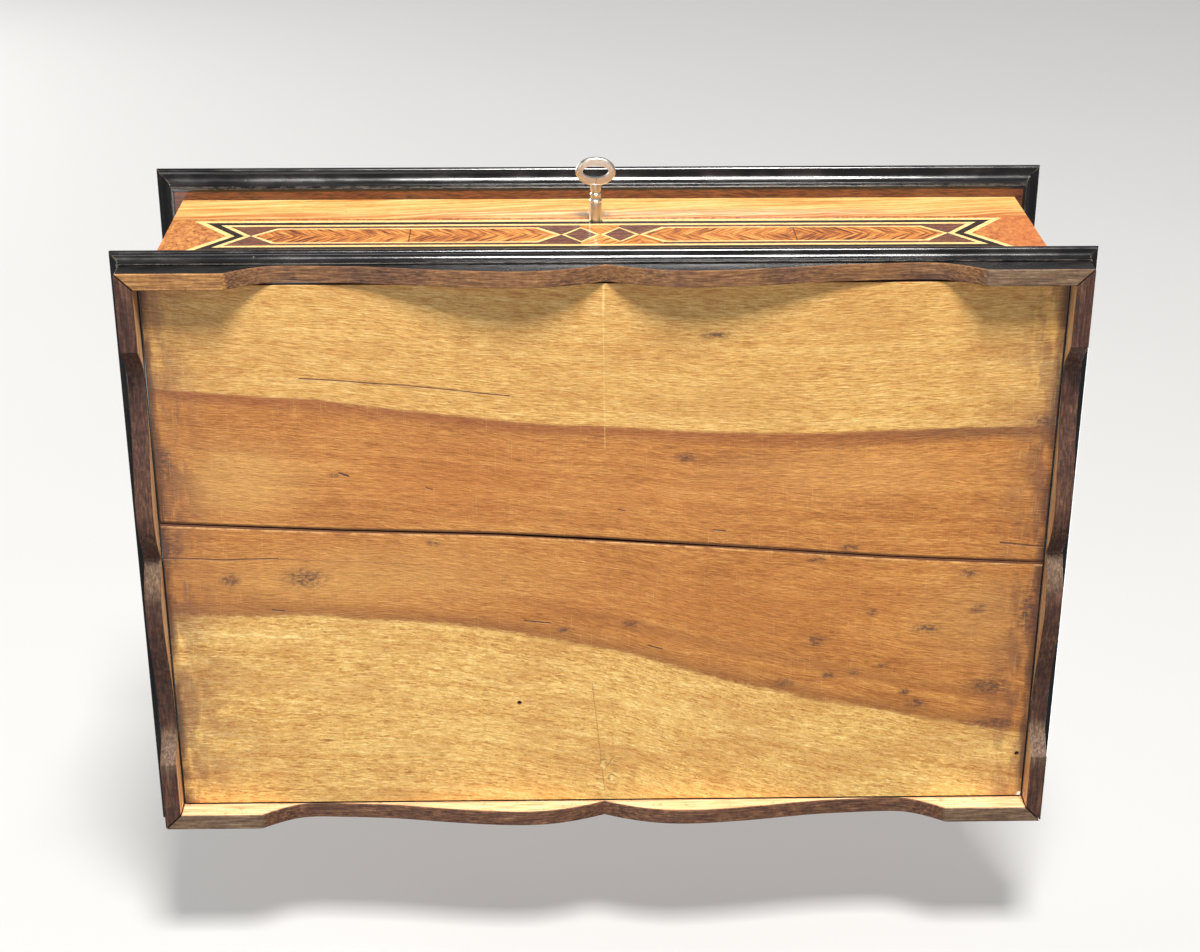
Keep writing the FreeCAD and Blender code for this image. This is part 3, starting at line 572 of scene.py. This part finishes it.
def veneer():
    """Pale zone above the inlaid band, orange crossbanding around and below it, brown wood inside."""
    g = Graph("veneer")
    on_end = g.step(g.absolute(g.facing(0)), 0.4, 0.6)
    u = g.blend(on_end, g.x, g.y)
    v = g.z
    waver = g.minus(g.noise(g.place, (0.02, 0.02, 0.04), 2), 0.5)
    rising = g.math("MULTIPLY_ADD", u, -0.085, v)
    run = g.join(u, g.sum(rising, g.times(waver, 9.0)))
    grain = g.noise(run, (0.02, 0.5, 1), 4, 0.6)
    fine = g.noise(run, (0.3, 3.4, 1), 3, 0.6, shift=4.0)
    burr = g.noise(g.place, (0.5, 0.5, 0.28), 5, 0.72, bend=0.8, shift=9.0)
    pale = g.ramp(
        g.sum(g.times(grain, 0.65), g.times(fine, 0.35)),
        (0.34, tone(184, 110, 52)),
        (0.45, tone(210, 154, 84)),
        (0.55, tone(226, 186, 114)),
        (0.66, tone(236, 208, 144)),
    )
    low = g.step(g.sum(v, g.times(waver, 8.0)), 90.0, 77.0)
    pale = g.mix(g.times(low, g.step(grain, 0.42, 0.58, 0.85, 0.2)), pale, tone(180, 98, 48))
    orange = g.ramp(
        g.sum(g.times(burr, 0.6), g.times(fine, 0.4)),
        (0.38, tone(112, 56, 28)),
        (0.46, tone(166, 98, 46)),
        (0.54, tone(198, 130, 66)),
        (0.64, tone(222, 166, 94)),
    )
    redder = g.step(u, REDDER_FROM, REDDEST_AT, 0.0, 0.5)
    orange = g.mix(redder, orange, tone(190, 100, 52))
    past_joint = g.minus(v, CROSSBAND_TOP)
    colour = g.mix(g.step(past_joint, -0.2, 0.2), orange, pale)
    joint = g.step(g.absolute(past_joint), 0.35, 0.1)
    colour = g.mix(g.times(joint, 0.5), colour, tone(120, 66, 34))

    dents = g.noise(g.place, (0.5, 0.5, 0.5), 2, 0.6, shift=15.0)
    colour = g.mix(g.step(dents, 0.72, 0.78, 0, 0.6), colour, tone(110, 60, 34))
    scratch = g.times(g.stroke(g.x, v, (-1.3, 70), (-1.2, 38), 0.22), g.step(g.y, 1.0, -1.0))
    colour = g.mix(g.times(scratch, 0.7), colour, tone(250, 226, 190))

    inner_x = g.step(g.minus(HALF_W - INSIDE_DEPTH, g.absolute(g.x)), -0.15, 0.15)
    inner_y = g.step(g.minus(HALF_D - INSIDE_DEPTH, g.absolute(g.y)), -0.15, 0.15)
    inside = g.times(inner_x, inner_y)
    both = g.sum(g.times(grain, 0.5), g.times(fine, 0.5))
    plain = g.ramp(both, (0.35, tone(112, 66, 38)), (0.65, tone(158, 102, 60)))
    colour = g.mix(inside, colour, plain)
    rough = g.blend(inside, g.step(burr, 0.3, 0.7, 0.26, 0.17), 0.5)
    height = g.sum(g.times(burr, 0.3), g.times(fine, 0.2), g.times(joint, -1.0))
    return g.finish(colour, rough, height, 0.05, **POLISH)


def inlay(name, dark, middle, light, streak=2.2):
    """A plain inlay wood with its grain along the panel."""
    g = Graph(name)
    across = g.noise(g.place, (0.05, 0.05, streak), 3, 0.6)
    fine = g.noise(g.place, (0.8, 0.8, 3.0), 3, 0.6, shift=6.0)
    both = g.sum(g.times(across, 0.5), g.times(fine, 0.5))
    colour = g.ramp(both, (0.36, dark), (0.5, middle), (0.64, light))
    gap = g.noise(g.place, (0.4, 0.4, 0.4), 2, 0.5, shift=12.0)
    colour = g.mix(g.step(gap, 0.68, 0.76, 0, 0.5), colour, tone(70, 42, 26))
    rough = g.step(fine, 0.3, 0.7, 0.27, 0.17)
    return g.finish(colour, rough, fine, 0.03, **POLISH)


def feathered(name, flat):
    """Orange wood cut in chevrons, meeting on the panel's middle line; flat is True on the lid."""
    g = Graph(name)
    if flat:
        u, v = g.x, g.y
    else:
        on_front = g.step(g.absolute(g.facing(1)), 0.4, 0.6)
        u = g.blend(on_front, g.y, g.x)
        v = g.minus(g.z, PANEL_Z)
    past_start = g.step(u, TURNED_FROM - 0.1, TURNED_FROM + 0.1)
    before_end = g.step(u, TURNED_TO + 0.1, TURNED_TO - 0.1)
    way = g.math("MULTIPLY_ADD", g.times(past_start, before_end), -2.0, 1.0)
    chevron = g.math("MULTIPLY_ADD", g.absolute(v), g.times(way, 0.95), u)
    bent = g.sum(chevron, g.times(g.noise(g.place, (0.2, 0.2, 0.2), 2), 2.4))
    stripe = g.noise(g.join(bent, g.times(v, 0.1)), (0.62, 1, 1), 3, 0.65)
    fine = g.noise(g.join(bent, v), (2.6, 0.3, 1), 2, 0.6, shift=3.0)
    tint = g.noise(g.join(u, 0.0), (0.03, 1, 1), 1, shift=8.0)
    colour = g.ramp(
        g.sum(g.times(stripe, 0.6), g.times(fine, 0.25), g.times(tint, 0.15)),
        (0.4, tone(92, 44, 18)),
        (0.47, tone(152, 84, 34)),
        (0.53, tone(198, 124, 54)),
        (0.61, tone(230, 166, 88)),
    )
    joint = g.step(g.absolute(g.minus(g.absolute(u), LEAF_JOINT)), 0.4, 0.15)
    colour = g.mix(g.times(joint, 0.8), colour, tone(92, 46, 22))
    rough = g.step(stripe, 0.3, 0.7, 0.26, 0.17)
    return g.finish(colour, rough, stripe, 0.03, **POLISH)


# Ebonised mouldings and aprons

def black_polish(g):
    """Colour, roughness and height of worn black polish over wood."""
    grain = g.noise(g.place, (0.3, 0.3, 1.6), 3, 0.6)
    patch = g.noise(g.place, (0.06, 0.06, 0.2), 3, 0.6, shift=5.0)
    along = g.noise(g.place, (0.02, 0.02, 3.4), 3, 0.6, shift=9.0)
    nick = g.noise(g.place, (0.22, 0.22, 1.0), 4, 0.7, shift=14.0)
    colour = g.mix(g.step(patch, 0.4, 0.7), tone(16, 15, 16), tone(36, 32, 32))
    colour = g.mix(g.step(along, 0.62, 0.74, 0, 0.2), colour, tone(84, 78, 74))
    arris = g.worn(0.45, 0.16)
    rubbed = g.times(arris, g.step(nick, 0.38, 0.6))
    colour = g.mix(g.times(rubbed, 0.6), colour, tone(168, 152, 136))
    chip = g.step(nick, 0.7, 0.76)
    colour = g.mix(g.times(chip, 0.7), colour, tone(150, 122, 96))
    rough = g.sum(g.step(patch, 0.35, 0.7, 0.15, 0.3), g.times(rubbed, 0.2))
    height = g.sum(g.times(grain, 0.4), g.times(along, 0.15), g.times(chip, -1.0))
    return colour, rough, height


def ebonised():
    g = Graph("ebonised_moulding")
    colour, rough, height = black_polish(g)
    return g.finish(colour, rough, height, 0.06, coat=0.4, coat_rough=0.15)


# stretches along y where the end aprons' raw undersides are greyer: where each begins, where it ends
GREY_STRETCHES = [
    ((-2.0, 2.0), (9.0, 16.0)),
    ((66.0, 69.0), (79.0, 84.0)),
]
FEET_FROM_X = 110.0
FEET_TOP_Z = 1.2


def sawn_wood(g, grainy, on_end_apron):
    """Raw undersides: brown with one warm foot and three grey ones, redder on the end aprons."""
    blotch = g.noise(g.place, (0.04, 0.05, 0.05), 3, 0.55, shift=8.0)
    brown = g.ramp(
        grainy,
        (0.34, tone(50, 28, 20)),
        (0.47, tone(92, 58, 40)),
        (0.58, tone(128, 88, 60)),
        (0.7, tone(170, 126, 88)),
    )
    warm = g.ramp(grainy, (0.34, tone(112, 70, 36)), (0.5, tone(168, 116, 60)), (0.66, tone(206, 156, 92)))
    red = g.ramp(grainy, (0.34, tone(40, 20, 14)), (0.5, tone(72, 42, 30)), (0.68, tone(116, 78, 58)))
    grey = g.ramp(grainy, (0.34, tone(62, 48, 36)), (0.5, tone(112, 88, 66)), (0.68, tone(150, 126, 98)))
    at_feet = g.step(g.absolute(g.x), FEET_FROM_X, FEET_FROM_X + 6.0)
    foot = g.times(g.step(g.z, FEET_TOP_Z, 0.4), at_feet)
    front = g.mix(g.times(g.step(blotch, 0.35, 0.6), 0.4), brown, warm)
    front = g.mix(g.times(foot, 0.85), front, g.mix(g.step(g.x, -1.0, 1.0), warm, grey))
    back = g.mix(g.times(foot, 0.8), brown, grey)
    raw = g.mix(g.step(g.y, 0.0, 1.0), front, back)
    raw = g.mix(on_end_apron, raw, g.mix(g.times(g.step(blotch, 0.45, 0.6), 0.4), red, brown))
    stretches = [
        g.times(g.step(g.y, *begins), g.step(g.y, *reversed(ends)))
        for begins, ends in GREY_STRETCHES
    ]
    return g.mix(g.times(g.largest(*stretches), on_end_apron, 0.6), raw, grey)


def apron_wood():
    """Black polish outside, sawn brown wood underneath, pale planed wood on the inner face."""
    g = Graph("apron_wood")
    past_end = g.minus(g.absolute(g.x), HALF_W)
    past_front = g.minus(g.absolute(g.y), HALF_D)
    past_mitre = g.minus(past_end, past_front)
    on_end_apron = g.step(past_mitre, -0.1, 0.1)
    lengthwise = g.noise(g.place, (0.1, 1.5, 1.5), 4, 0.68, bend=0.3, shift=4.0)
    crosswise = g.noise(g.place, (1.5, 0.1, 1.5), 4, 0.68, bend=0.3, shift=4.0)
    fibre = g.blend(on_end_apron, lengthwise, crosswise)
    saw = g.noise(g.place, (0.5, 0.5, 0.5), 4, 0.7)
    grainy = g.sum(g.times(saw, 0.25), g.times(fibre, 0.75))
    grime = g.noise(g.place, (0.3, 0.3, 0.3), 3, 0.7, shift=17.0)
    raw = sawn_wood(g, grainy, on_end_apron)
    raw = g.mix(g.step(grime, 0.62, 0.74, 0, 0.5), raw, tone(44, 28, 20))
    planed = g.ramp(
        g.noise(g.place, (0.05, 0.05, 1.2), 3, 0.6),
        (0.35, tone(206, 150, 104)),
        (0.55, tone(238, 196, 146)),
        (0.7, tone(250, 220, 178)),
    )
    planed = g.mix(g.step(grime, 0.58, 0.7, 0, 0.5), planed, tone(140, 96, 64))

    geometry = g.add("ShaderNodeNewGeometry")
    level = g.vector("MULTIPLY", geometry.outputs["True Normal"], (1, 1, 0))
    outward = g.vector("DOT_PRODUCT", level, g.vector("MULTIPLY", g.place, (1, 1, 0)))
    inner = g.step(outward, 0.0, -20.0)
    under = g.step(g.facing(2), -0.12, -0.3)
    bare = g.largest(inner, under)
    black, black_rough, black_height = black_polish(g)
    colour = g.mix(inner, black, planed)
    colour = g.mix(under, colour, raw)
    mitre = g.step(g.absolute(past_mitre), 0.7, 0.15)
    colour = g.mix(g.times(mitre, 0.8), colour, tone(28, 18, 14))
    rough = g.blend(bare, black_rough, g.step(saw, 0.3, 0.7, 0.75, 0.45))
    height = g.blend(bare, g.times(black_height, 0.15), grainy)
    return g.finish(colour, rough, height, 0.45)


def plain_wood(name, dark, light, axis=0):
    """Unpolished inside wood with its grain along an axis (0 x, 1 y)."""
    g = Graph(name)
    stretch = [0.9, 0.9, 1.6]
    stretch[axis] = 0.03
    grain = g.noise(g.place, stretch, 4, 0.6)
    stretch = [3.2, 3.2, 3.2]
    stretch[axis] = 0.25
    fine = g.noise(g.place, stretch, 2, 0.6, shift=4.0)
    colour = g.ramp(g.sum(g.times(grain, 0.6), g.times(fine, 0.4)), (0.35, dark), (0.65, light))
    pores = g.step(fine, 0.64, 0.72, 0, 0.5)
    colour = g.mix(pores, colour, g.mix(0.5, dark, tone(40, 24, 14)))
    rough = g.step(fine, 0.3, 0.7, 0.6, 0.45)
    return g.finish(colour, rough, g.sum(grain, g.times(fine, 0.6)), 0.08)


def lid_wood():
    """Orange veneer on top, red-brown edge and underside."""
    g = Graph("lid_wood")
    waver = g.minus(g.noise(g.place, (0.015, 0.03, 0.03), 2), 0.5)
    run = g.join(g.x, g.sum(g.y, g.times(waver, 14.0)))
    grain = g.noise(run, (0.012, 0.16, 1), 4, 0.6)
    fine = g.noise(run, (0.25, 2.6, 1), 3, 0.6, shift=4.0)
    top = g.ramp(
        g.sum(g.times(grain, 0.6), g.times(fine, 0.4)),
        (0.36, tone(158, 86, 40)),
        (0.48, tone(202, 126, 60)),
        (0.58, tone(222, 152, 78)),
        (0.68, tone(236, 178, 102)),
    )
    edge = g.ramp(fine, (0.35, tone(66, 34, 22)), (0.65, tone(132, 76, 44)))
    up = g.step(g.facing(2), 0.5, 0.8)
    colour = g.mix(up, edge, top)
    rough = g.blend(up, 0.45, g.step(fine, 0.3, 0.7, 0.26, 0.18))
    height = g.sum(grain, g.times(fine, 0.5))
    return g.finish(colour, rough, height, 0.04, **POLISH)


# Metals

def metal(name, clean, tarnish, rough, worn_at=0.5):
    """Handled metal: tarnish in patches, bright along the edges, fine scratches."""
    g = Graph(name)
    patch = g.noise(g.place, (0.22, 0.22, 0.22), 4, 0.6)
    scratch = g.noise(g.place, (0.8, 5.0, 5.0), 2, 0.5, shift=3.0)
    colour = g.mix(g.step(patch, worn_at, worn_at + 0.22), clean, tarnish)
    bright = g.worn(0.35, 0.2)
    colour = g.mix(g.times(bright, 0.5), colour, clean)
    level = g.sum(g.step(patch, 0.35, 0.7, rough, rough + 0.18), g.step(scratch, 0.5, 0.8, 0.0, 0.08))
    return g.finish(colour, level, g.sum(scratch, g.times(patch, 0.5)), 0.02, metal=1.0)


def build_materials():
    return {
        "bottom_wood": BottomWood().build(),
        "veneer_carcase": veneer(),
        "lid_wood": lid_wood(),
        "drawer_wood": plain_wood("drawer_wood", tone(150, 104, 60), tone(206, 164, 108)),
        "lining_wood": plain_wood("lining_wood", tone(120, 74, 42), tone(176, 122, 72), 1),
        "ebony": inlay("ebony", tone(14, 8, 6), tone(32, 18, 10), tone(70, 42, 22)),
        "boxwood": inlay("boxwood", tone(200, 150, 84), tone(240, 202, 128), tone(252, 230, 172)),
        "walnut": inlay("walnut", tone(64, 30, 26), tone(104, 62, 46), tone(150, 98, 66), 1.2),
        "satinwood_body": feathered("satinwood_body", False),
        "satinwood_lid": feathered("satinwood_lid", True),
        "ebonised": ebonised(),
        "apron_wood": apron_wood(),
        "hinge_brass": metal("hinge_brass", tone(206, 170, 98), tone(120, 84, 44), 0.26),
        "lock_steel": metal("lock_steel", tone(152, 148, 142), tone(116, 106, 94), 0.34, 0.5),
        "key_nickel": metal("key_nickel", tone(232, 226, 214), tone(176, 164, 148), 0.27, 0.56),
    }


# the woods that differ within one slot
OWN_MATERIAL = {
    "body_satinwood_inlay": "satinwood_body",
    "lid_satinwood_inlay": "satinwood_lid",
    "catch_slip": "lining_wood",
    "subfloor_left": "lining_wood",
    "subfloor_right": "lining_wood",
}

# nodes shown by a copy with softened arrises: node, width of the arris in millimetres
SOFTENED = {"bottom_front_plank": 0.25, "bottom_back_plank": 0.25, "key": 0.12}
for side in ("front", "back", "left", "right"):
    SOFTENED[side + "_apron"] = 0.45
    SOFTENED[side + "_plinth_moulding"] = 0.3
    SOFTENED["lid_" + side + "_moulding"] = 0.3

# how a softened copy is made, in metres and degrees
SAME_PLACE = 1e-6
FLAT_BELOW = 0.6
ROUNDED_ABOVE = 32
SHARP_ABOVE = 34


def material_name(node, slot):
    if node in OWN_MATERIAL:
        return OWN_MATERIAL[node]
    return "apron_wood" if node.endswith("_apron") else slot


def give(obj, material):
    if not obj.material_slots:
        obj.data.materials.append(material)
    for place in obj.material_slots:
        place.material = material


def softened(node, width):
    """Copy of a CAD node with its sharp convex and concave edges rounded by a small width."""
    mesh = bmesh.new()
    mesh.from_mesh(NODES[node].data)
    bmesh.ops.remove_doubles(mesh, verts=mesh.verts, dist=SAME_PLACE)
    flat = math.radians(FLAT_BELOW)
    bmesh.ops.dissolve_limit(mesh, angle_limit=flat, verts=mesh.verts, edges=mesh.edges)
    sharp = []
    for edge in mesh.edges:
        if len(edge.link_faces) == 2 and edge.calc_face_angle(0.0) > math.radians(ROUNDED_ABOVE):
            sharp.append(edge)
    bmesh.ops.bevel(
        mesh,
        geom=sharp,
        offset=width / MM,
        offset_type="OFFSET",
        segments=2,
        profile=0.6,
        affect="EDGES",
        clamp_overlap=True,
    )
    data = bpy.data.meshes.new(node + "_soft")
    mesh.to_mesh(data)
    mesh.free()
    data.shade_smooth()
    data.set_sharp_from_angle(angle=math.radians(SHARP_ABOVE))
    copy = bpy.data.objects.new(node + "_soft", data)
    bpy.context.scene.collection.objects.link(copy)
    even = copy.modifiers.new("even_normals", "WEIGHTED_NORMAL")
    even.keep_sharp = True
    return copy


def dress():
    """Gives every node its material, and the softened copies their nodes' places."""
    materials = build_materials()
    body_of_node = {}
    for body, members in frame["record"]["behaviour"]["bodies"].items():
        for node in members:
            body_of_node[node] = body
    for entry in frame["record"]["subparts"]:
        node, slot = entry["node"], entry["material_slot"]
        material = materials[material_name(node, slot)]
        give(NODES[node], material)
        if node in SOFTENED:
            copy = softened(node, SOFTENED[node])
            give(copy, material)
            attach(copy, body_of_node[node])
            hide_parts(node)


# Studio, in metres and watts

PAPER = (0.35, 0.348, 0.344, 1.0)
PAPER_GLOW = 0.9
PAPER_REACH = 6.0
GROUND_Z = -0.0005
WALL_FOOT = -0.9
WALL_GAP = 0.05  # clear of the open lid

# name, place, side of the square, power, colour
LIGHTS = [
    ("key_light", (0.12, -1.75, -0.62), 0.45, 68.0, (1.0, 0.985, 0.96)),
    ("camera_fill", (-0.3, 0.3, -1.6), 0.9, 10.0, (0.97, 0.985, 1.0)),
    ("top_softbox", (-1.3, -0.3, 1.3), 1.0, 26.0, (1.0, 0.99, 0.97)),
    ("back_softbox", (1.2, 0.9, 1.1), 1.0, 20.0, (0.98, 0.99, 1.0)),
]
LIT_POINT = (0.0, MIDDLE_Y / MM, 0.05)


def studio_paper():
    """Pale paper, seen from its front only."""
    g = Graph("studio_paper")
    tint = g.noise(g.place, (0.004, 0.004, 0.004), 2)
    shade = tuple(part * 0.96 for part in PAPER[:3]) + (1.0,)
    g.finish(g.mix(g.step(tint, 0.3, 0.7, 0, 0.5), PAPER, shade), 0.9)
    g.shader.inputs["Emission Color"].default_value = PAPER
    g.shader.inputs["Emission Strength"].default_value = PAPER_GLOW
    clear = g.add("ShaderNodeBsdfTransparent")
    mixed = g.add("ShaderNodeMixShader")
    g.plug(mixed.inputs[0], g.add("ShaderNodeNewGeometry").outputs["Backfacing"])
    g.plug(mixed.inputs[1], g.shader.outputs[0])
    g.plug(mixed.inputs[2], clear.outputs[0])
    g.plug(g.output.inputs[0], mixed.outputs[0])
    return g.material


def sheet(name, corners, material):
    data = bpy.data.meshes.new(name)
    data.from_pydata(corners, [], [(0, 1, 2, 3)])
    obj = bpy.data.objects.new(name, data)
    bpy.context.scene.collection.objects.link(obj)
    obj.data.materials.append(material)
    obj.visible_glossy = False
    obj.visible_transmission = False
    obj.visible_shadow = False
    obj.visible_diffuse = False


def studio_sheets():
    paper = studio_paper()
    reach = PAPER_REACH
    back = CAD_HIGH.y + WALL_GAP
    wall = [(-reach, back, reach), (-reach, back, WALL_FOOT), (reach, back, WALL_FOOT), (reach, back, reach)]
    sheet("studio_wall", wall, paper)
    ground = [(-reach, -reach), (reach, -reach), (reach, reach), (-reach, reach)]
    sheet("studio_ground", [(x, y, GROUND_Z) for x, y in ground], paper)


def area_light(name, at, size, power, colour):
    data = bpy.data.lights.new(name, "AREA")
    data.shape = "SQUARE"
    data.size = size
    data.energy = power
    data.color = colour
    light = bpy.data.objects.new(name, data)
    light.location = at
    light.rotation_euler = (Vector(LIT_POINT) - Vector(at)).to_track_quat("-Z", "Y").to_euler()
    bpy.context.scene.collection.objects.link(light)


def background(tree, colour, strength):
    node = tree.nodes.new("ShaderNodeBackground")
    node.inputs["Color"].default_value = colour
    node.inputs["Strength"].default_value = strength
    return node.outputs[0]


def world():
    """Pale surroundings for the camera, a dimmer studio for the light."""
    surroundings = bpy.data.worlds.new("studio")
    surroundings.use_nodes = True
    tree = surroundings.node_tree
    tree.nodes.clear()
    path = tree.nodes.new("ShaderNodeLightPath")
    mixed = tree.nodes.new("ShaderNodeMixShader")
    output = tree.nodes.new("ShaderNodeOutputWorld")
    tree.links.new(path.outputs["Is Camera Ray"], mixed.inputs[0])
    tree.links.new(background(tree, (0.5, 0.505, 0.51, 1), 0.4), mixed.inputs[1])
    tree.links.new(background(tree, (0.84, 0.84, 0.835, 1), 1.0), mixed.inputs[2])
    tree.links.new(mixed.outputs[0], output.inputs[0])
    bpy.context.scene.world = surroundings


def camera():
    data = bpy.data.cameras.new("camera")
    data.lens = LENS
    data.sensor_width = SENSOR
    data.clip_start = 0.02
    data.clip_end = 20.0
    obj = bpy.data.objects.new("camera", data)
    base = Matrix(((1, 0, 0), (0, -1, 0), (0, 0, -1)))
    pitch = Matrix.Rotation(math.radians(CAMERA_PITCH), 3, "X")
    yaw = Matrix.Rotation(math.radians(CAMERA_YAW), 3, "Y")
    roll = Matrix.Rotation(math.radians(CAMERA_ROLL), 3, "Z")
    obj.matrix_world = Matrix.Translation(CAMERA_AT) @ (base @ pitch @ yaw @ roll).to_4x4()
    bpy.context.scene.collection.objects.link(obj)
    bpy.context.scene.camera = obj


dress()
studio_sheets()
for light in LIGHTS:
    area_light(*light)
world()
camera()
bpy.context.scene.view_settings.view_transform = "Standard"
